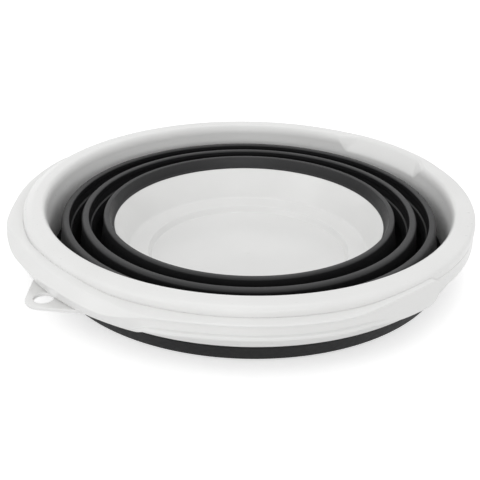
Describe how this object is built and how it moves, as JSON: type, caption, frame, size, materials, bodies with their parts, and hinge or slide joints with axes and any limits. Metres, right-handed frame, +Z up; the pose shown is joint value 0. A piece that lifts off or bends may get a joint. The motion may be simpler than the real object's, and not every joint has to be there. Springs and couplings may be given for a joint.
{
  "type": "collapsible bucket",
  "caption": "Collapsible bucket shown pushed flat: a folding rubber wall between a stiff rim, with spout, hang tab and bail handle, and a cup-shaped base.",
  "frame": {"origin": "centre of the ring the bucket stands on, at ground level", "axes": "+Z up along the bucket's axis; +X to the right and +Y away from the viewer in the picture"},
  "size_m": [0.329, 0.3288, 0.0502],
  "materials": {
    "white_polypropylene": "moulded, satin gloss",
    "black_rubber": "moulded thermoplastic rubber, satin"
  },
  "bodies": {
    "base": {"base_cup": "white_polypropylene", "inner_wall": "black_rubber"},
    "inner_ring": {"middle_band": "black_rubber", "inner_web": "black_rubber"},
    "outer_ring": {"outer_band": "black_rubber", "middle_web": "black_rubber"},
    "rim": {"rim": "white_polypropylene", "outer_wall": "black_rubber", "outer_web": "black_rubber"},
    "handle": {"handle": "white_polypropylene"}
  },
  "joints": [
    {"name": "fold_inner", "type": "slide", "parent": "base", "child": "inner_ring", "axis": [0, 0, 1], "range_m": [0, 0.0632], "deforming": ["inner_web"]},
    {"name": "fold_middle", "type": "slide", "parent": "inner_ring", "child": "outer_ring", "axis": [0, 0, 1], "range_m": [0, 0.0632], "deforming": ["middle_web"]},
    {"name": "fold_outer", "type": "slide", "parent": "outer_ring", "child": "rim", "axis": [0, 0, 1], "range_m": [0, 0.0632], "deforming": ["outer_web"]},
    {"name": "handle_swing", "type": "hinge", "parent": "rim", "child": "handle", "pos_m": [0, 0, 0.0372], "axis": [-0.6626, 0.749, 0], "range_deg": [0, 180]}
  ]
}
